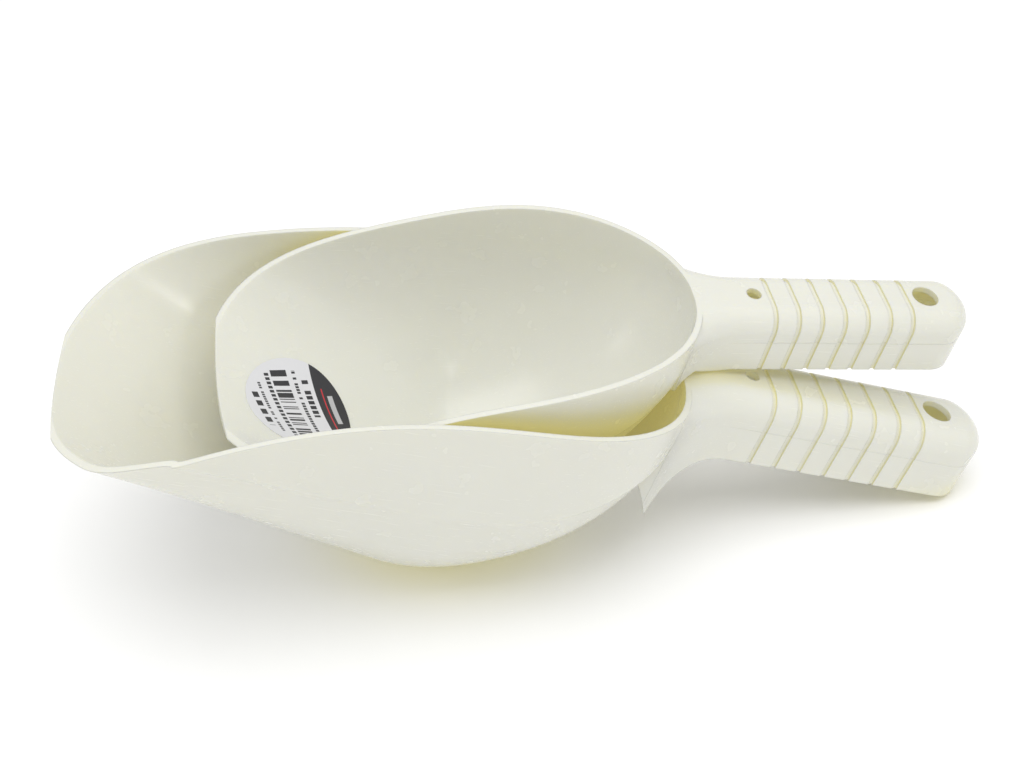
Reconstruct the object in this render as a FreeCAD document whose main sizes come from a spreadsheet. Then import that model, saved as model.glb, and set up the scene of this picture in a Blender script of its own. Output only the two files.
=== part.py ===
"""Two nested one-piece plastic ice scoops, a large one with a smaller one lying in it.

Each scoop is moulded in one piece: a deep open bowl with a low front lip, and a
hollow grip that is open underneath, with seven shallow finger grooves, a hanging
hole near its end and a small hole near the neck.  A round paper label sticks to the
floor of the small scoop's bowl.

Scoop frame: x runs along the grip towards its end, y across, z up.  Its origin is
on the grip's flat top, at the first finger groove.
Part frame: x along the large scoop, y across, z up, with z = 0 on the worktop.
"""
import FreeCAD, Part
import math
import os

Vector = FreeCAD.Vector

# ---------------------------------------------------------------- driving sizes
SHEET_CELLS = [
    # large scoop, in its own frame
    ("large_pitch", 10.3, "groove spacing"),
    ("large_grip_width", 30.3, "grip width"),
    ("large_grip_height", 28.4, "grip height at the side"),
    ("large_grip_end", 92.0, "from the first groove to the grip's end"),
    ("large_edge_round", 8.8, "rounding of the grip's top edges"),
    ("large_hole", 11.5, "hanging hole diameter"),
    ("large_hole_place", 71.1, "from the first groove to the hanging hole"),
    ("large_lip", 245.0, "from the first groove forward to the lip"),
    ("large_belly", 118.0, "from the first groove forward to the deepest section"),
    ("large_back", 34.0, "from the first groove forward to the bowl's back"),
    ("large_half_width", 56.5, "half width of the bowl at the deepest section"),
    ("large_lip_half_width", 69.0, "half width of the bowl at the lip"),
    ("large_depth", 101.0, "depth of the bowl below the grip's top"),
    ("large_lip_depth", 57.0, "depth of the lip below the grip's top"),
    ("large_web", 24.5, "drop of the grip's lower edge under the neck"),
    ("large_back_square", 2.8, "squareness of the bowl's back, seen from above"),
    ("large_rim_start", 79.0, "from the first groove forward to where the rim starts to fall"),
    ("large_rim_fall", 58.5, "fall of the rim's side edge at the lip"),
    ("large_rim_power", 2.35, "curve of the falling rim"),
    # small scoop, in its own frame
    ("small_pitch", 9.0, "groove spacing"),
    ("small_grip_width", 26.5, "grip width"),
    ("small_grip_height", 24.8, "grip height at the side"),
    ("small_grip_end", 80.5, "from the first groove to the grip's end"),
    ("small_edge_round", 7.7, "rounding of the grip's top edges"),
    ("small_hole", 10.0, "hanging hole diameter"),
    ("small_hole_place", 62.2, "from the first groove to the hanging hole"),
    ("small_lip", 191.0, "from the first groove forward to the lip"),
    ("small_belly", 103.0, "from the first groove forward to the deepest section"),
    ("small_back", 27.0, "from the first groove forward to the bowl's back"),
    ("small_half_width", 50.0, "half width of the bowl at the deepest section"),
    ("small_lip_half_width", 52.5, "half width of the bowl at the lip"),
    ("small_depth", 84.0, "depth of the bowl below the grip's top"),
    ("small_lip_depth", 42.0, "depth of the lip below the grip's top"),
    ("small_web", -3.2, "drop of the grip's lower edge under the neck"),
    ("small_back_square", 2.1, "squareness of the bowl's back, seen from above"),
    ("small_rim_start", 48.0, "from the first groove forward to where the rim starts to fall"),
    ("small_rim_fall", 43.0, "fall of the rim's side edge at the lip"),
    ("small_rim_power", 1.95, "curve of the falling rim"),
    # shared
    ("lip_bow", 0.12, "bow of the lip seen from above, in half widths"),
    ("wall", 2.2, "moulded wall thickness"),
    ("grip_wall", 2.4, "wall of the grip"),
    ("groove_depth", 0.7, "depth of a finger groove"),
    ("groove_width", 1.8, "width of a finger groove"),
    ("neck_hole", 5.5, "small hole near the neck"),
    # round label on the small bowl's floor
    ("label_radius", 21.3, "radius of the round label"),
    ("label_thick", 0.25, "thickness of the label"),
    ("label_place", 161.4, "from the first groove forward to the label's middle"),
    ("label_drop", 59.4, "label's middle below the grip's top"),
    ("label_tilt", 25.0, "slope of the floor under the label, degrees"),
    # how the scoops lie: the large one on its belly and its grip's end
    ("part_ahead", 83.7, "large scoop's first groove from the part's middle, along it"),
    ("part_aside", 0.0, "large scoop's first groove from the part's middle, across it"),
    ("large_tilt", 19.87, "grip's slope down to its end, degrees"),
    ("large_raise", 57.98, "height of the large scoop's first groove"),
    ("small_shift", -0.3, "small scoop's first groove from the large one's, along the part"),
    ("small_aside", 8.8, "small scoop's first groove from the large one's, across it"),
    ("small_raise", 89.9, "height of the small scoop's first groove"),
    ("small_turn", 4.9, "small scoop turned seen from above, degrees"),
    ("small_tilt", 11.0, "small grip's slope down to its end, degrees"),
    ("small_roll", 8.0, "small scoop rolled about its grip, degrees"),
]

FRONT_SECTIONS = 8         # steps from the lip to the deepest section
BACK_TURNS = (15, 30, 45, 60, 72, 81, 87)   # degrees of the quarter oval behind it
FLOOR_EASE = 1.2           # how late the floor levels out before the deepest section
BACK_DROP = 1.8            # squareness of the bowl's back, seen from the side
RIM_STEPS = 10             # points along the rim's side profile
OVAL_STEPS = 720           # search steps round the bowl's plan oval
FLARE_PITCHES = 3.6        # radius of the flare from grip to bowl, in groove pitches
GROOVES = 7                # finger grooves on each grip
END_BOW = 0.85             # length of the grip's round end, in half widths
FLOOR_STEPS = 12           # points on a section's rounded floor
WALL_SHARE = 0.25          # share of a bowl section's depth that is straight wall
OVERRUN = 12.0             # how far cutting shapes pass beyond what they cut


def make_sheet(doc):
    """Put the driving sizes into an aliased spreadsheet."""
    sheet = doc.addObject("Spreadsheet::Sheet", "dims")
    for row, (name, value, note) in enumerate(SHEET_CELLS, start=1):
        sheet.set("A%d" % row, note)
        sheet.set("B%d" % row, str(value))
        sheet.setAlias("B%d" % row, name)
    doc.recompute()
    return sheet


def origin_plane(body, role):
    """Return one of a body's own origin planes."""
    for feature in body.Origin.OriginFeatures:
        if feature.Role == role:
            return feature
    raise RuntimeError("no plane " + role)


def add_sketch(body, name, role, offset=None):
    """Add a sketch on a body's origin plane, moved along its normal by an expression."""
    sketch = body.newObject("Sketcher::SketchObject", name)
    sketch.AttachmentSupport = [(origin_plane(body, role), "")]
    sketch.MapMode = "FlatFace"
    if offset is not None:
        sketch.setExpression("AttachmentOffset.Base.z", offset)
    return sketch


# ---------------------------------------------------------------- bowl
def section_outline(sketch, half_width, depth):
    """Draw one bowl section: flat top, two straight walls and a half-ellipse floor."""
    straight = depth * WALL_SHARE
    drop = depth - straight
    floor_points = []
    for step in range(FLOOR_STEPS + 1):
        turn = math.pi * step / FLOOR_STEPS
        floor_points.append(Vector(half_width * math.cos(turn), -straight - drop * math.sin(turn), 0))
    floor = Part.BSplineCurve()
    floor.interpolate(floor_points, InitialTangent=Vector(0, -1, 0), FinalTangent=Vector(0, 1, 0))
    top_left = Vector(-half_width, OVERRUN, 0)
    top_right = Vector(half_width, OVERRUN, 0)
    sketch.addGeometry(Part.LineSegment(top_left, top_right), False)
    sketch.addGeometry(Part.LineSegment(top_right, floor_points[0]), False)
    sketch.addGeometry(floor, False)
    sketch.addGeometry(Part.LineSegment(floor_points[-1], top_left), False)


def hull(doc, sheet, size, name, inset):
    """Loft a bowl's outer or inner form, from in front of its lip to its back.

    From the lip to the deepest section the floor runs down and the sides draw in.
    Behind it every section shrinks along a quarter oval, to the bowl's back.
    """
    def dim(key):
        return getattr(sheet, size + "_" + key)

    body = doc.addObject("PartDesign::Body", name)
    front = -dim("lip") - OVERRUN
    belly = -dim("belly")
    back = -dim("back") - inset
    half = dim("half_width") - inset
    deep = dim("depth") - inset
    lip_half = dim("lip_half_width") - inset
    lip_deep = dim("lip_depth") - inset
    square = dim("back_square")
    stations = []
    for step in range(FRONT_SECTIONS + 1):
        share = step / FRONT_SECTIONS
        floor_ease = 1 - (1 - share) ** FLOOR_EASE
        side_ease = math.sin(share * math.pi / 2)
        stations.append((front + (belly - front) * share,
                         lip_half + (half - lip_half) * side_ease,
                         lip_deep + (deep - lip_deep) * floor_ease))
    for turn in BACK_TURNS:
        angle = math.radians(turn)
        share = math.sin(angle) ** (2 / square)
        stations.append((belly + (back - belly) * share,
                         half * math.cos(angle) ** (2 / square),
                         deep * (1 - share ** BACK_DROP) ** (1 / BACK_DROP)))
    sketches = []
    for number, (place, half_width, depth) in enumerate(stations):
        sketch = add_sketch(body, "%s_section_%d" % (name, number), "YZ_Plane", "%.4f" % place)
        section_outline(sketch, half_width, depth)
        sketches.append(sketch)
    doc.recompute()
    loft = body.newObject("PartDesign::AdditiveLoft", name + "_loft")
    loft.Profile = sketches[0]
    loft.Sections = sketches[1:]
    loft.Ruled = False
    return body


def rim_cutter(doc, sheet, size):
    """Make the form above the rim's side profile and in front of the lip."""
    def dim(key):
        return getattr(sheet, size + "_" + key)

    body = doc.addObject("PartDesign::Body", size + "_rim_cutter")
    start = -dim("rim_start")
    lip = -dim("lip")
    curve = []
    for step in range(RIM_STEPS + 1):
        share = step / RIM_STEPS
        curve.append(Vector(start + (lip - start) * share,
                            -dim("rim_fall") * share ** dim("rim_power"), 0))
    rim = Part.BSplineCurve()
    rim.interpolate(curve)
    far_front = lip - 3 * OVERRUN
    above = 2 * OVERRUN
    below = -2 * dim("depth")
    side = add_sketch(body, size + "_rim_side", "XZ_Plane")
    side.addGeometry(rim, False)
    corners = [curve[-1], Vector(lip, below, 0), Vector(far_front, below, 0),
               Vector(far_front, above, 0), Vector(0, above, 0), Vector(0, 0, 0), curve[0]]
    for begin, end in zip(corners, corners[1:]):
        side.addGeometry(Part.LineSegment(begin, end), False)
    pad = body.newObject("PartDesign::Pad", size + "_rim_pad")
    pad.Profile = side
    pad.Midplane = True
    pad.setExpression("Length", "4 * dims.%s_half_width" % size)
    return body


def lip_cutter(doc, sheet, size):
    """Make the form in front of the lip's bow, seen from above."""
    def dim(key):
        return getattr(sheet, size + "_" + key)

    body = doc.addObject("PartDesign::Body", size + "_lip_cutter")
    lip = -dim("lip")
    half = dim("lip_half_width")
    bow_back = lip + sheet.lip_bow * half
    plan = add_sketch(body, size + "_lip_plan", "XY_Plane")
    left = Vector(bow_back, half + OVERRUN, 0)
    right = Vector(bow_back, -half - OVERRUN, 0)
    front_left = Vector(lip - 3 * OVERRUN, half + OVERRUN, 0)
    front_right = Vector(lip - 3 * OVERRUN, -half - OVERRUN, 0)
    arc = Part.Arc(left, Vector(lip, 0, 0), right)
    plan.addGeometry(arc, False)
    plan.addGeometry(Part.LineSegment(right, front_right), False)
    plan.addGeometry(Part.LineSegment(front_right, front_left), False)
    plan.addGeometry(Part.LineSegment(front_left, left), False)
    pad = body.newObject("PartDesign::Pad", size + "_lip_pad")
    pad.Profile = plan
    pad.Midplane = True
    pad.setExpression("Length", "4 * dims.%s_depth" % size)
    return body


# ---------------------------------------------------------------- grip
def flare_touch(centre_x, long_axis, short_axis, square, side, radius):
    """Place a flare's arc, which touches the grip's side and the bowl's plan oval.

    Return the x where the arc leaves the grip's side, and its touching point.
    """
    def gap(arc_x):
        best = None
        for step in range(OVAL_STEPS + 1):
            turn = math.pi / 2 * step / OVAL_STEPS
            x = centre_x + long_axis * math.cos(turn) ** (2 / square)
            y = short_axis * math.sin(turn) ** (2 / square)
            distance = math.hypot(x - arc_x, y - side - radius)
            if best is None or distance < best[0]:
                best = (distance, x, y)
        return best

    near, far = centre_x, centre_x + long_axis + 2 * radius
    for _ in range(40):
        middle = (near + far) / 2
        if gap(middle)[0] < radius:
            near = middle
        else:
            far = middle
    return far, gap(far)[1], gap(far)[2]


def grip_plan(sketch, dim, inset):
    """Draw the grip seen from above, with its flares into the bowl and round end."""
    side = dim("grip_width") / 2 - inset
    radius = dim("pitch") * FLARE_PITCHES + inset
    centre_x = -dim("belly")
    long_axis = dim("belly") - dim("back")
    leave_x, touch_x, touch_y = flare_touch(centre_x, long_axis, dim("half_width"),
                                            dim("back_square"), side, radius)
    direction = Vector(touch_x - leave_x, touch_y - side - radius, 0)
    direction.normalize()
    angle = math.atan2(direction.y, direction.x)
    middle_angle = (angle - math.pi / 2 - 2 * math.pi) / 2 if angle > 0 else (angle - math.pi / 2) / 2
    end = dim("grip_end") - inset
    for mirror in (1, -1):
        def at(x, y):
            return Vector(x, mirror * y, 0)

        touch = at(leave_x + radius * math.cos(angle), side + radius + radius * math.sin(angle))
        middle = at(leave_x + radius * math.cos(middle_angle),
                    side + radius + radius * math.sin(middle_angle))
        bow_x = end - side * END_BOW
        sketch.addGeometry(Part.LineSegment(at(centre_x, 0), touch), False)
        sketch.addGeometry(Part.Arc(touch, middle, at(leave_x, side)), False)
        sketch.addGeometry(Part.LineSegment(at(leave_x, side), at(bow_x, side)), False)
    round_end = Part.Ellipse(Vector(bow_x, side, 0), Vector(end, 0, 0), Vector(bow_x, 0, 0))
    sketch.addGeometry(Part.ArcOfEllipse(round_end, 0, math.pi), False)
    return leave_x


def grip_form(doc, sheet, size, name, inset):
    """Make the grip's outer block, or with an inset the hollow inside it."""
    def dim(key):
        return getattr(sheet, size + "_" + key)

    body = doc.addObject("PartDesign::Body", name)
    plan = add_sketch(body, name + "_plan", "XY_Plane", "%.4f" % -inset)
    leave_x = grip_plan(plan, dim, inset)
    doc.recompute()
    pad = body.newObject("PartDesign::Pad", name + "_pad")
    pad.Profile = plan
    pad.Reversed = True
    pad.setExpression("Length", "dims.%s_grip_height * 2" % size)
    doc.recompute()
    if inset:
        return body
    # under the neck the grip's lower edge curves to meet the bowl's back
    height = dim("grip_height")
    run = dim("back") + leave_x
    drop = dim("web")
    side = add_sketch(body, name + "_side", "XZ_Plane")
    far = dim("grip_end") + OVERRUN
    near = -dim("belly") - OVERRUN
    low = -3 * height
    web_middle = Vector(leave_x - run * math.sin(math.pi / 4),
                        -height - drop * (1 - math.cos(math.pi / 4)), 0)
    web_top = Vector(leave_x, -height, 0)
    web_low = Vector(leave_x - run, -height - drop, 0)
    side.addGeometry(Part.Arc(web_top, web_middle, web_low), False)
    outline = [web_low, Vector(leave_x - 1.6 * run, -height + 1, 0), Vector(near, -height + 1, 0),
               Vector(near, low, 0), Vector(far, low, 0), Vector(far, -height, 0), web_top]
    for begin, end in zip(outline, outline[1:]):
        side.addGeometry(Part.LineSegment(begin, end), False)
    cut = body.newObject("PartDesign::Pocket", name + "_underside")
    cut.Profile = side
    cut.Midplane = True
    cut.setExpression("Length", "4 * dims.%s_half_width" % size)
    return body


def groove_cutter(doc, sheet, size):
    """Make the seven finger grooves: shallow rings over the grip's top and sides."""
    def dim(key):
        return getattr(sheet, size + "_" + key)

    name = size + "_grooves"
    body = doc.addObject("PartDesign::Body", name)
    ring = add_sketch(body, name + "_ring", "YZ_Plane")
    outer_half = dim("grip_width") / 2 + OVERRUN
    inner_half = dim("grip_width") / 2 - sheet.groove_depth
    low = -dim("grip_height") - OVERRUN
    top = -sheet.groove_depth
    round_radius = dim("edge_round")
    corner = round_radius * (1 - math.cos(math.pi / 4))
    points = [Vector(-inner_half, low, 0), Vector(-inner_half, top - round_radius, 0)]
    ring.addGeometry(Part.LineSegment(points[0], points[1]), False)
    left_top = Vector(-inner_half + round_radius, top, 0)
    ring.addGeometry(Part.Arc(points[1], Vector(-inner_half + corner, top - corner, 0), left_top), False)
    right_top = Vector(inner_half - round_radius, top, 0)
    ring.addGeometry(Part.LineSegment(left_top, right_top), False)
    right_side = Vector(inner_half, top - round_radius, 0)
    ring.addGeometry(Part.Arc(right_top, Vector(inner_half - corner, top - corner, 0), right_side), False)
    outside = [right_side, Vector(inner_half, low, 0), Vector(outer_half, low, 0),
               Vector(outer_half, OVERRUN, 0), Vector(-outer_half, OVERRUN, 0),
               Vector(-outer_half, low, 0), points[0]]
    for begin, end in zip(outside, outside[1:]):
        ring.addGeometry(Part.LineSegment(begin, end), False)
    pad = body.newObject("PartDesign::Pad", name + "_pad")
    pad.Profile = ring
    pad.Midplane = True
    pad.setExpression("Length", "dims.groove_width")
    doc.recompute()
    row = body.newObject("PartDesign::LinearPattern", name + "_row")
    row.Originals = [pad]
    row.Direction = (ring, ["N_Axis"])
    row.setExpression("Length", "%d * dims.%s_pitch" % (GROOVES - 1, size))
    row.Occurrences = GROOVES
    body.Tip = row
    return body


def cylinder(doc, name, radius, height, x, z):
    """Make an upright cylinder whose sizes and place are expressions."""
    tool = doc.addObject("Part::Cylinder", name)
    tool.setExpression("Radius", radius)
    tool.setExpression("Height", height)
    tool.setExpression("Placement.Base.x", x)
    tool.setExpression("Placement.Base.z", z)
    return tool


def cut(doc, name, base, tool):
    """Take one form away from another."""
    result = doc.addObject("Part::Cut", name)
    result.Base = base
    result.Tool = tool
    result.Refine = False
    return result


def rounded_top(doc, name, form, radius):
    """Round the top edge that runs all the way along a grip form's sides and end."""
    result = doc.addObject("Part::Fillet", name)
    result.Base = form
    top = form.Shape.BoundBox.ZMax
    for number, edge in enumerate(form.Shape.Edges, start=1):
        round_end = not isinstance(edge.Curve, (Part.Line, Part.Circle))
        if round_end and edge.BoundBox.ZMin > top - 0.01:
            result.Edges = [(number, radius, radius)]
            break
    return result


def scoop(doc, sheet, size, label):
    """Build one whole scoop in its own frame."""
    outer = hull(doc, sheet, size, size + "_outer", 0.0)
    hollow = hull(doc, sheet, size, size + "_hollow", sheet.wall)
    above = rim_cutter(doc, sheet, size)
    front = lip_cutter(doc, sheet, size)
    block = grip_form(doc, sheet, size, size + "_grip_block", 0.0)
    inside = grip_form(doc, sheet, size, size + "_grip_hollow", sheet.grip_wall)
    grooves = groove_cutter(doc, sheet, size)
    doc.recompute()
    edge_round = getattr(sheet, size + "_edge_round")
    rounded = rounded_top(doc, size + "_grip_rounded", block, edge_round)
    roof = rounded_top(doc, size + "_grip_roof", inside, edge_round - sheet.grip_wall)
    channel = cut(doc, size + "_grip_channel", rounded, roof)
    doc.recompute()
    # the lofted back and the grip only join exactly when no tolerance is added
    joined = doc.addObject("Part::Feature", size + "_joined")
    joined.Shape = outer.Shape.fuse(channel.Shape)
    hollowed = cut(doc, size + "_hollowed", joined, hollow)
    trimmed = cut(doc, size + "_trimmed", hollowed, above)
    lipped = cut(doc, size + "_lipped", trimmed, front)
    grooved = cut(doc, size + "_grooved", lipped, grooves)
    hang = cylinder(doc, size + "_hang_hole", "dims.%s_hole / 2" % size, "20 mm",
                    "dims.%s_hole_place" % size, "-10 mm")
    drilled = cut(doc, size + "_drilled", grooved, hang)
    eye = cylinder(doc, size + "_neck_hole", "dims.neck_hole / 2", "20 mm",
                   "-0.65 * dims.%s_pitch" % size, "-10 mm")
    whole = cut(doc, label, drilled, eye)
    doc.recompute()
    return whole


def label_form(doc, sheet):
    """Make the round label: a thin skin on the floor of the small bowl."""
    upper = hull(doc, sheet, "small", "label_upper", sheet.wall + sheet.label_thick)
    lower = hull(doc, sheet, "small", "label_lower", sheet.wall)
    punch = doc.addObject("Part::Cylinder", "label_punch")
    punch.setExpression("Radius", "dims.label_radius")
    punch.setExpression("Height", "dims.label_radius")
    punch.setExpression(
        "Placement",
        "placement(vector(-dims.label_place - sin(dims.label_tilt) * dims.label_radius / 2;"
        " 0; -dims.label_drop - cos(dims.label_tilt) * dims.label_radius / 2);"
        " rotation(vector(0; 1; 0); dims.label_tilt))")
    disc = doc.addObject("Part::Common", "label_disc")
    disc.Base = lower
    disc.Tool = punch
    disc.Refine = False
    return cut(doc, "round_label", disc, upper)


def lay(piece, size):
    """Lay a piece of a scoop where that scoop lies."""
    if size == "large":
        text = ("placement(vector(dims.part_ahead; dims.part_aside; dims.large_raise);"
                " rotation(0; dims.large_tilt; 0))")
    else:
        text = ("placement(vector(dims.part_ahead + dims.small_shift;"
                " dims.part_aside + dims.small_aside; dims.small_raise);"
                " rotation(dims.small_turn; dims.small_tilt; dims.small_roll))")
    piece.setExpression("Placement", text)


def check(doc, pieces):
    """Stop unless every object is up to date and every piece is one valid solid."""
    for item in doc.Objects:
        if "Invalid" in item.State or "Error" in item.State:
            raise RuntimeError("failed object: " + item.Name)
    for piece in pieces:
        shape = piece.Shape
        if shape.isNull() or not shape.isValid() or len(shape.Solids) != 1:
            raise RuntimeError("bad piece: " + piece.Label)


def main():
    """Build, check and export every piece."""
    doc = FreeCAD.newDocument("ice_scoops")
    sheet = make_sheet(doc)
    large = scoop(doc, sheet, "large", "large_scoop")
    small = scoop(doc, sheet, "small", "small_scoop")
    label = label_form(doc, sheet)
    lay(large, "large")
    lay(small, "small")
    lay(label, "small")
    doc.recompute()
    pieces = [large, small, label]
    check(doc, pieces)
    os.makedirs("parts", exist_ok=True)
    for piece in pieces:
        piece.Shape.exportStep("parts/%s.step" % piece.Label)
        print(piece.Label, round(piece.Shape.Volume), piece.Shape.BoundBox)


main()
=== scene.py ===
"""Two nested ice scoops of ivory plastic with a printed label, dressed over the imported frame."""
import math
import bpy
from bpy.props import FloatProperty, FloatVectorProperty, PointerProperty
from mathutils import Euler, Matrix, Vector

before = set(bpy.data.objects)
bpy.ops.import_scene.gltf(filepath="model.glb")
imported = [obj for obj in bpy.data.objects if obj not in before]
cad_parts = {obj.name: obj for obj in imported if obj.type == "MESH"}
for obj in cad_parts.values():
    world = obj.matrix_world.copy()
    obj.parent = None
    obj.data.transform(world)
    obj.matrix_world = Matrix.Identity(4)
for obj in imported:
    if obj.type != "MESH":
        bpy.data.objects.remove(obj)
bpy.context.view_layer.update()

bl_info = {
    "name": "Ice scoops",
    "version": (1, 0, 0),
    "blender": (4, 5, 0),
    "location": "View3D > Sidebar > Scoops",
    "description": "Models two nested ice scoops, their label and a plain studio",
    "category": "Object",
}

MM = 0.001

# where each scoop's own frame lies: first groove's place in mm, then roll, pitch and yaw in degrees.
# In that frame x runs to the grip's end, y across, and z = 0 is the grip's flat top.
LIES = {
    "large": {"place": (83.7, 0.0, 57.98), "turn": (0.0, 19.87, 0.0), "pitch": 10.3,
              "grip_height": 28.4, "grip_end": 92.0},
    "small": {"place": (83.4, 8.8, 89.9), "turn": (8.0, 11.0, 4.9), "pitch": 9.0,
              "grip_height": 24.8, "grip_end": 80.5},
}
LABEL_CENTRE = (-161.4, 0.0, -59.4)
LABEL_TILT = 25.0
PRINT_TURN = 19.1          # the print's lines against the scoop's width, degrees

# the label's lines: middle across the lines, height, begin, end, cell pitch, share inked, mark width
PRINT_LINES = (
    (7.3, 2.7, -13.0, 3.0, 2.1, 0.93, 0.72),
    (3.4, 1.5, -16.5, 13.5, 1.15, 0.86, 0.74),
    (-2.9, 6.8, -17.0, 13.0, 0.42, 0.52, 1.0),
    (-8.2, 1.9, -16.0, 13.0, 1.75, 0.97, 0.66),
    (-12.6, 1.2, -12.0, 11.0, 1.0, 0.8, 0.7),
    (-16.0, 2.6, -8.0, 8.0, 3.9, 1.0, 0.62),
)
DARK_FROM = 10.5           # the dark part of the label begins here, across the lines


# settings -------------------------------------------------------------------------------------

class PlasticSettings(bpy.types.PropertyGroup):
    """Sizes and colours of the moulded plastic."""
    ivory: FloatVectorProperty(name="Ivory", description="Colour of the open faces",
                               subtype="COLOR", size=4, default=(0.71, 0.71, 0.64, 1.0))
    # painted light: this amber is mixed in deep in gaps and holes, standing in for light through the
    # plastic
    painted_gap_light_colour: FloatVectorProperty(name="Amber", description="Colour deep in gaps and holes",
                               subtype="COLOR", size=4, default=(0.74, 0.68, 0.26, 1.0))
    roughness: FloatProperty(name="Roughness", description="Mean roughness of the moulded faces",
                             default=0.25, min=0.0, max=1.0)
    # painted glow: emission in deep gaps, standing in for light through thin walls
    painted_gap_glow: FloatProperty(name="Glow", description="Light that comes through thin walls in gaps",
                        default=0.13, min=0.0)


class LabelSettings(bpy.types.PropertyGroup):
    """Colours of the printed label."""
    film: FloatVectorProperty(name="Film", description="Unprinted film", subtype="COLOR", size=4,
                              default=(0.66, 0.66, 0.68, 1.0))
    ink: FloatVectorProperty(name="Ink", description="Printed marks", subtype="COLOR", size=4,
                             default=(0.03, 0.03, 0.034, 1.0))
    accent: FloatVectorProperty(name="Accent", description="Rule in the dark part",
                                subtype="COLOR", size=4, default=(0.55, 0.03, 0.04, 1.0))


class StageSettings(bpy.types.PropertyGroup):
    """Floor, light and camera."""
    floor: FloatVectorProperty(name="Floor", description="Colour of the floor", subtype="COLOR",
                               size=4, default=(0.97, 0.97, 0.97, 1.0))
    sky: FloatProperty(name="Sky", description="Strength of the even light", default=0.66, min=0.0)
    key: FloatProperty(name="Key", description="Strength of the large soft light", subtype="POWER",
                       default=13.0, min=0.0)
    strip: FloatProperty(name="Strip", description="Strength of the narrow light in front",
                         subtype="POWER", default=1.1, min=0.0)
    side: FloatProperty(name="Side", description="Strength of the light at the lips' side",
                        subtype="POWER", default=0.8, min=0.0)
    focal: FloatProperty(name="Focal length", description="Camera's focal length", unit="CAMERA",
                         default=56.25, min=1.0)


# shared helpers -------------------------------------------------------------------------------

def deselect_all():
    """Clear the selection, which loading leaves full."""
    if bpy.context.object and bpy.context.object.mode != "OBJECT":
        bpy.ops.object.mode_set(mode="OBJECT")
    bpy.ops.object.select_all(action="DESELECT")


def scoop_turn(size):
    """Return a scoop frame's rotation matrix."""
    return Euler([math.radians(angle) for angle in LIES[size]["turn"]]).to_matrix()


# nodes ----------------------------------------------------------------------------------------

def new_material(name):
    """Make an empty material and return it with its tree, shader and output joined."""
    material = bpy.data.materials.new(name)
    material.use_nodes = True
    tree = material.node_tree
    tree.nodes.clear()
    shader = tree.nodes.new("ShaderNodeBsdfPrincipled")
    output = tree.nodes.new("ShaderNodeOutputMaterial")
    tree.links.new(shader.outputs["BSDF"], output.inputs["Surface"])
    return material, tree, shader


def new_group(name, inputs, outputs):
    """Make a node group with float or vector sockets; return it with its input and output nodes."""
    group = bpy.data.node_groups.new(name, "ShaderNodeTree")
    for socket, kind in inputs:
        group.interface.new_socket(name=socket, in_out="INPUT", socket_type=kind)
    for socket, kind in outputs:
        group.interface.new_socket(name=socket, in_out="OUTPUT", socket_type=kind)
    return group, group.nodes.new("NodeGroupInput"), group.nodes.new("NodeGroupOutput")


def join(tree, value, socket):
    """Link a socket, or set a plain number or vector."""
    if isinstance(value, bpy.types.NodeSocket):
        tree.links.new(value, socket)
    else:
        socket.default_value = value


def maths(tree, operation, first, second=None, clamp=False):
    """Add a Math node and return its output."""
    node = tree.nodes.new("ShaderNodeMath")
    node.operation = operation
    node.use_clamp = clamp
    join(tree, first, node.inputs[0])
    if second is not None:
        join(tree, second, node.inputs[1])
    return node.outputs[0]


def band(tree, value, middle, half, soft):
    """Return 1 inside middle +- half and 0 outside, fading over soft."""
    away = maths(tree, "ABSOLUTE", maths(tree, "SUBTRACT", value, middle))
    room = maths(tree, "SUBTRACT", half, away)
    return maths(tree, "DIVIDE", room, soft, clamp=True)


def noise(tree, vector, scale, detail=3.0):
    """Add a noise texture and return its value."""
    node = tree.nodes.new("ShaderNodeTexNoise")
    node.inputs["Scale"].default_value = scale
    node.inputs["Detail"].default_value = detail
    tree.links.new(vector, node.inputs["Vector"])
    return node.outputs[0]


def local_place(tree, place, turn):
    """Return object coordinates in mm in a frame at place with the rotation turn."""
    coords = tree.nodes.new("ShaderNodeTexCoord")
    mapping = tree.nodes.new("ShaderNodeMapping")
    mapping.vector_type = "TEXTURE"
    mapping.inputs["Location"].default_value = [MM * value for value in place]
    mapping.inputs["Rotation"].default_value = turn.to_euler()
    mapping.inputs["Scale"].default_value = (MM, MM, MM)
    tree.links.new(coords.outputs["Object"], mapping.inputs["Vector"])
    return mapping.outputs["Vector"]


def surface_group():
    """Group: fine unevenness of a polished mould, as a height in mm and a roughness change."""
    if "moulded_skin" in bpy.data.node_groups:
        return bpy.data.node_groups["moulded_skin"]
    group, inlet, outlet = new_group(
        "moulded_skin", [("Place", "NodeSocketVector")],
        [("Height", "NodeSocketFloat"), ("Roughness", "NodeSocketFloat"),
         ("Tone", "NodeSocketFloat")])
    place = inlet.outputs["Place"]
    fine = maths(group, "MULTIPLY", noise(group, place, 1.6, 4.0), 0.012)
    wave = maths(group, "MULTIPLY", noise(group, place, 0.06, 2.0), 0.25)
    stretch = group.nodes.new("ShaderNodeMapping")
    stretch.inputs["Scale"].default_value = (0.05, 1.6, 1.6)
    group.links.new(place, stretch.inputs["Vector"])
    rubs = noise(group, stretch.outputs["Vector"], 1.4, 5.0)
    rub_mask = maths(group, "GREATER_THAN", rubs, 0.66)
    scuff = maths(group, "MULTIPLY", rub_mask, -0.008)
    height = maths(group, "ADD", maths(group, "ADD", fine, wave), scuff)
    group.links.new(height, outlet.inputs["Height"])
    patch = maths(group, "MULTIPLY", maths(group, "SUBTRACT", noise(group, place, 0.09), 0.5), 0.16)
    dulled = maths(group, "MULTIPLY", rub_mask, 0.06)
    group.links.new(maths(group, "ADD", patch, dulled), outlet.inputs["Roughness"])
    group.links.new(noise(group, place, 0.03, 2.0), outlet.inputs["Tone"])
    return group


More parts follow.
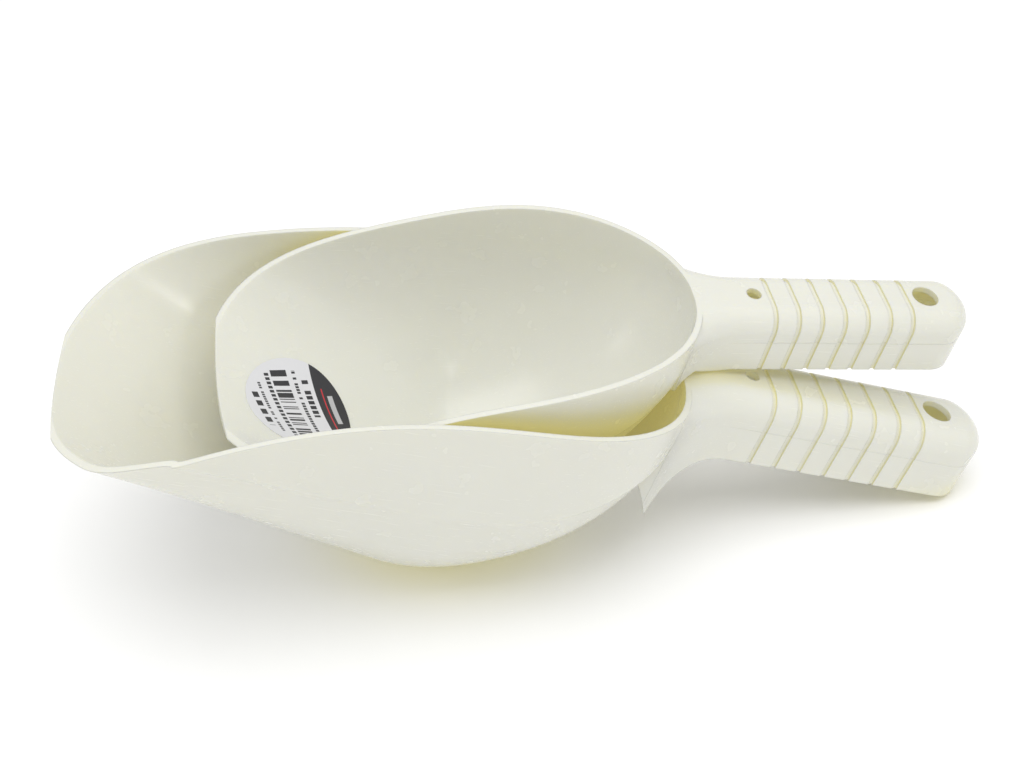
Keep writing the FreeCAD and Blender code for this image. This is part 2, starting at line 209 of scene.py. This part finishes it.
def painted_gap_light_group(settings):
    """Group: colour of translucent ivory plastic, with amber painted light mixed in where it is deep
    in a gap.
    """
    if "ivory_painted_gap_light" in bpy.data.node_groups:
        return bpy.data.node_groups["ivory_painted_gap_light"]
    group, inlet, outlet = new_group(
        "ivory_painted_gap_light", [("Tone", "NodeSocketFloat")],
        [("Colour", "NodeSocketColor"), ("Depth", "NodeSocketFloat")])
    shade = group.nodes.new("ShaderNodeAmbientOcclusion")
    shade.samples = 4
    shade.inputs["Distance"].default_value = 0.03
    ramp = group.nodes.new("ShaderNodeMapRange")
    ramp.interpolation_type = "SMOOTHSTEP"
    ramp.inputs["From Min"].default_value = 0.62
    ramp.inputs["From Max"].default_value = 0.08
    group.links.new(shade.outputs["AO"], ramp.inputs["Value"])
    pale = group.nodes.new("ShaderNodeMix")
    pale.data_type = "RGBA"
    pale.inputs[6].default_value = settings.ivory
    pale.inputs[7].default_value = [value * 0.965 for value in settings.ivory[:3]] + [1.0]
    group.links.new(inlet.outputs["Tone"], pale.inputs[0])
    # painted light: amber mixed over the ivory where ambient occlusion finds a deep gap
    mix = group.nodes.new("ShaderNodeMix")
    mix.data_type = "RGBA"
    group.links.new(ramp.outputs["Result"], mix.inputs[0])
    group.links.new(pale.outputs[2], mix.inputs[6])
    mix.inputs[7].default_value = settings.painted_gap_light_colour
    group.links.new(mix.outputs[2], outlet.inputs["Colour"])
    group.links.new(ramp.outputs["Result"], outlet.inputs["Depth"])
    return group


def parting_line(tree, place, size):
    """Return a height for the fine mould line along both sides of the grip."""
    split = tree.nodes.new("ShaderNodeSeparateXYZ")
    tree.links.new(place, split.inputs[0])
    lie = LIES[size]
    line = band(tree, split.outputs["Z"], -0.46 * lie["grip_height"], 0.35, 0.3)
    along = band(tree, split.outputs["X"], lie["grip_end"] / 2 - 8, lie["grip_end"] / 2 + 12, 14.0)
    return maths(tree, "MULTIPLY", maths(tree, "MULTIPLY", line, along), 0.16)


def plastic(size, settings):
    """Make one scoop's glossy ivory plastic, with painted amber light and a painted glow in its
    gaps.
    """
    material, tree, shader = new_material(size + "_ivory_plastic")
    place = local_place(tree, LIES[size]["place"], scoop_turn(size))
    skin = tree.nodes.new("ShaderNodeGroup")
    skin.node_tree = surface_group()
    tree.links.new(place, skin.inputs["Place"])
    gap_light = tree.nodes.new("ShaderNodeGroup")
    gap_light.node_tree = painted_gap_light_group(settings)
    tree.links.new(skin.outputs["Tone"], gap_light.inputs["Tone"])
    tree.links.new(gap_light.outputs["Colour"], shader.inputs["Base Color"])
    rough = maths(tree, "ADD", skin.outputs["Roughness"], settings.roughness, clamp=True)
    tree.links.new(rough, shader.inputs["Roughness"])
    height = maths(tree, "ADD", skin.outputs["Height"], parting_line(tree, place, size))
    bump = tree.nodes.new("ShaderNodeBump")
    edge = tree.nodes.new("ShaderNodeBevel")
    edge.samples = 4
    edge.inputs["Radius"].default_value = 0.0007
    tree.links.new(edge.outputs["Normal"], bump.inputs["Normal"])
    bump.inputs["Strength"].default_value = 0.8
    bump.inputs["Distance"].default_value = MM
    tree.links.new(height, bump.inputs["Height"])
    tree.links.new(bump.outputs["Normal"], shader.inputs["Normal"])
    # painted glow: the plastic emits warm light in deep gaps, with no lamp there
    painted_gap_glow = maths(tree, "MULTIPLY", gap_light.outputs["Depth"], settings.painted_gap_glow)
    tree.links.new(painted_gap_glow, shader.inputs["Emission Strength"])
    shader.inputs["Emission Color"].default_value = (1.0, 0.95, 0.55, 1.0)
    shader.inputs["IOR"].default_value = 1.49
    shader.inputs["Subsurface Weight"].default_value = 0.2
    shader.inputs["Subsurface Radius"].default_value = (1.0, 0.86, 0.42)
    shader.inputs["Subsurface Scale"].default_value = 0.006
    return material


# pieces ---------------------------------------------------------------------------------------

def build_scoop(size, settings):
    """Give one scoop its moulded plastic; the frame already holds its shape and its body."""
    node = size + "_scoop"
    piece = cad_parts[node]
    piece.data.materials.clear()
    piece.data.materials.append(plastic(size, settings))
    return piece


def line_group():
    """Group: one printed line of marks, with no letters, from its place and sizes in mm."""
    if "printed_line" in bpy.data.node_groups:
        return bpy.data.node_groups["printed_line"]
    names = ["Across", "Along", "Middle", "Height", "Begin", "End", "Pitch", "Inked", "Mark"]
    group, inlet, outlet = new_group(
        "printed_line", [(name, "NodeSocketFloat") for name in names],
        [("Ink", "NodeSocketFloat")])
    get = inlet.outputs
    away = maths(group, "ABSOLUTE", maths(group, "SUBTRACT", get["Across"], get["Middle"]))
    inside = maths(group, "LESS_THAN", away, maths(group, "MULTIPLY", get["Height"], 0.5))
    after = maths(group, "GREATER_THAN", get["Along"], get["Begin"])
    before = maths(group, "LESS_THAN", get["Along"], get["End"])
    cell = maths(group, "DIVIDE", get["Along"], get["Pitch"])
    chance = group.nodes.new("ShaderNodeTexWhiteNoise")
    chance.noise_dimensions = "1D"
    number = maths(group, "ADD", maths(group, "FLOOR", cell), get["Middle"])
    group.links.new(number, chance.inputs["W"])
    inked = maths(group, "LESS_THAN", chance.outputs["Value"], get["Inked"])
    mark = maths(group, "LESS_THAN", maths(group, "FRACT", cell), get["Mark"])
    ink = maths(group, "MULTIPLY", inside, maths(group, "MULTIPLY", after, before))
    ink = maths(group, "MULTIPLY", ink, maths(group, "MULTIPLY", inked, mark))
    group.links.new(ink, outlet.inputs["Ink"])
    return group


def printed_line(tree, across, along, values):
    """Add one printed line and return its ink."""
    node = tree.nodes.new("ShaderNodeGroup")
    node.node_tree = line_group()
    tree.links.new(across, node.inputs["Across"])
    tree.links.new(along, node.inputs["Along"])
    for name, value in zip(("Middle", "Height", "Begin", "End", "Pitch", "Inked", "Mark"), values):
        node.inputs[name].default_value = value
    return node.outputs["Ink"]


def mix_colour(tree, amount, first, second):
    """Mix two colours, each a socket or a colour, and return the result."""
    node = tree.nodes.new("ShaderNodeMix")
    node.data_type = "RGBA"
    tree.links.new(amount, node.inputs[0])
    join(tree, first, node.inputs[6])
    join(tree, second, node.inputs[7])
    return node.outputs[2]


def label_print(settings):
    """Make the label's film with its generic print."""
    material, tree, shader = new_material("label_print")
    turn = scoop_turn("small")
    centre = Vector(LIES["small"]["place"]) + turn @ Vector(LABEL_CENTRE)
    tilt = Matrix.Rotation(math.radians(LABEL_TILT), 3, "Y")
    spin = Matrix.Rotation(math.radians(PRINT_TURN), 3, "Z")
    place = local_place(tree, centre, turn @ tilt @ spin)
    split = tree.nodes.new("ShaderNodeSeparateXYZ")
    tree.links.new(place, split.inputs[0])
    across = split.outputs["X"]
    along = maths(tree, "MULTIPLY", split.outputs["Y"], -1.0)
    ink = None
    for values in PRINT_LINES:
        line = printed_line(tree, across, along, values)
        ink = line if ink is None else maths(tree, "MAXIMUM", ink, line)
    dark = maths(tree, "GREATER_THAN", across, DARK_FROM)
    ink = maths(tree, "MAXIMUM", ink, dark)
    colour = mix_colour(tree, ink, tuple(settings.film), tuple(settings.ink))
    rule = printed_line(tree, across, along, (13.4, 0.5, -9.0, 9.0, 40.0, 1.0, 2.0))
    colour = mix_colour(tree, rule, colour, tuple(settings.accent))
    panel = printed_line(tree, across, along, (16.2, 2.2, -6.0, 6.0, 40.0, 1.0, 2.0))
    colour = mix_colour(tree, panel, colour, (0.45, 0.45, 0.46, 1.0))
    tree.links.new(colour, shader.inputs["Base Color"])
    grain = maths(tree, "MULTIPLY", noise(tree, place, 0.5), 0.12)
    tree.links.new(maths(tree, "ADD", grain, 0.3), shader.inputs["Roughness"])
    bump = tree.nodes.new("ShaderNodeBump")
    bump.inputs["Strength"].default_value = 0.5
    bump.inputs["Distance"].default_value = MM
    wrinkle = maths(tree, "MULTIPLY", noise(tree, place, 0.12), 0.3)
    tree.links.new(maths(tree, "ADD", wrinkle, maths(tree, "MULTIPLY", ink, 0.01)),
                   bump.inputs["Height"])
    tree.links.new(bump.outputs["Normal"], shader.inputs["Normal"])
    return material


# operators ------------------------------------------------------------------------------------

class SCOOPS_OT_large(bpy.types.Operator):
    """Give the large scoop its plastic."""
    bl_idname = "scoops.large"
    bl_label = "Large scoop"

    def execute(self, context):
        build_scoop("large", context.scene.scoops_plastic)
        return {"FINISHED"}


class SCOOPS_OT_small(bpy.types.Operator):
    """Give the small scoop its plastic."""
    bl_idname = "scoops.small"
    bl_label = "Small scoop"

    def execute(self, context):
        build_scoop("small", context.scene.scoops_plastic)
        return {"FINISHED"}


class SCOOPS_OT_label(bpy.types.Operator):
    """Print the round label."""
    bl_idname = "scoops.label"
    bl_label = "Round label"

    def execute(self, context):
        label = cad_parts["round_label"]
        label.data.materials.clear()
        label.data.materials.append(label_print(context.scene.scoops_label))
        return {"FINISHED"}


class SCOOPS_OT_stage(bpy.types.Operator):
    """Lay the floor and set the lights and the camera."""
    bl_idname = "scoops.stage"
    bl_label = "Stage"

    def execute(self, context):
        settings = context.scene.scoops_stage
        add_floor(settings)
        add_lights(settings)
        add_camera(settings)
        return {"FINISHED"}


def add_floor(settings):
    """Lay a wide pale floor."""
    deselect_all()
    bpy.ops.mesh.primitive_plane_add(size=8.0, location=(0.0, 0.0, 0.0))
    floor = bpy.context.object
    floor.name = "floor"
    material, tree, shader = new_material("pale_floor")
    shader.inputs["Base Color"].default_value = settings.floor
    shader.inputs["Roughness"].default_value = 0.9
    shader.inputs["Specular IOR Level"].default_value = 0.1
    floor.data.materials.append(material)


def add_area(name, place, target, size, power):
    """Add a soft rectangular light that faces a point."""
    deselect_all()
    bpy.ops.object.light_add(type="AREA", location=place)
    lamp = bpy.context.object
    lamp.name = name
    lamp.data.shape = "RECTANGLE"
    lamp.data.size = size[0]
    lamp.data.size_y = size[1]
    lamp.data.energy = power
    toward = Vector(target) - Vector(place)
    lamp.rotation_euler = toward.to_track_quat("-Z", "Y").to_euler()


def add_lights(settings):
    """Set an even sky, a large soft light overhead and two small ones for the gloss."""
    world = bpy.data.worlds.new("even_sky")
    world.use_nodes = True
    sky = world.node_tree.nodes["Background"]
    sky.inputs["Color"].default_value = (1.0, 1.0, 1.0, 1.0)
    sky.inputs["Strength"].default_value = settings.sky
    bpy.context.scene.world = world
    add_area("key", (0.0, -0.15, 1.4), (0.0, 0.0, 0.04), (1.6, 1.2), settings.key)
    add_area("strip", (0.42, -0.94, 0.62), (-0.05, 0.03, 0.06), (0.12, 0.3), settings.strip)
    add_area("side", (-1.1, 0.2, 0.42), (0.0, 0.0, 0.06), (0.3, 0.2), settings.side)
    bpy.context.scene.view_settings.view_transform = "Standard"


def add_camera(settings):
    """Stand the camera where the object is seen from above its near side."""
    deselect_all()
    bpy.ops.object.camera_add(location=(-0.06039, -0.43619, 0.42828))
    camera = bpy.context.object
    camera.name = "camera"
    camera.rotation_euler = [math.radians(angle) for angle in (50.573, 1.132, -7.456)]
    camera.data.sensor_width = 36.0
    camera.data.lens = settings.focal
    bpy.context.scene.camera = camera


class SCOOPS_PT_panel(bpy.types.Panel):
    """Lists the pieces and the stage."""
    bl_label = "Scoops"
    bl_idname = "SCOOPS_PT_panel"
    bl_space_type = "VIEW_3D"
    bl_region_type = "UI"
    bl_category = "Scoops"

    def draw(self, context):
        for operator in OPERATORS:
            self.layout.operator(operator.bl_idname)


SETTINGS = (
    ("scoops_plastic", PlasticSettings),
    ("scoops_label", LabelSettings),
    ("scoops_stage", StageSettings),
)
OPERATORS = (SCOOPS_OT_large, SCOOPS_OT_small, SCOOPS_OT_label, SCOOPS_OT_stage)


def register():
    """Register the settings, operators and panel."""
    for name, settings in SETTINGS:
        bpy.utils.register_class(settings)
        setattr(bpy.types.Scene, name, PointerProperty(type=settings))
    for item in OPERATORS + (SCOOPS_PT_panel,):
        bpy.utils.register_class(item)


def unregister():
    """Take the settings, operators and panel away again."""
    for item in reversed(OPERATORS + (SCOOPS_PT_panel,)):
        bpy.utils.unregister_class(item)
    for name, settings in reversed(SETTINGS):
        delattr(bpy.types.Scene, name)
        bpy.utils.unregister_class(settings)


def main():
    """Build everything in order."""
    register()
    bpy.ops.scoops.large()
    bpy.ops.scoops.small()
    bpy.ops.scoops.label()
    bpy.ops.scoops.stage()


if __name__ == "__main__":
    main()
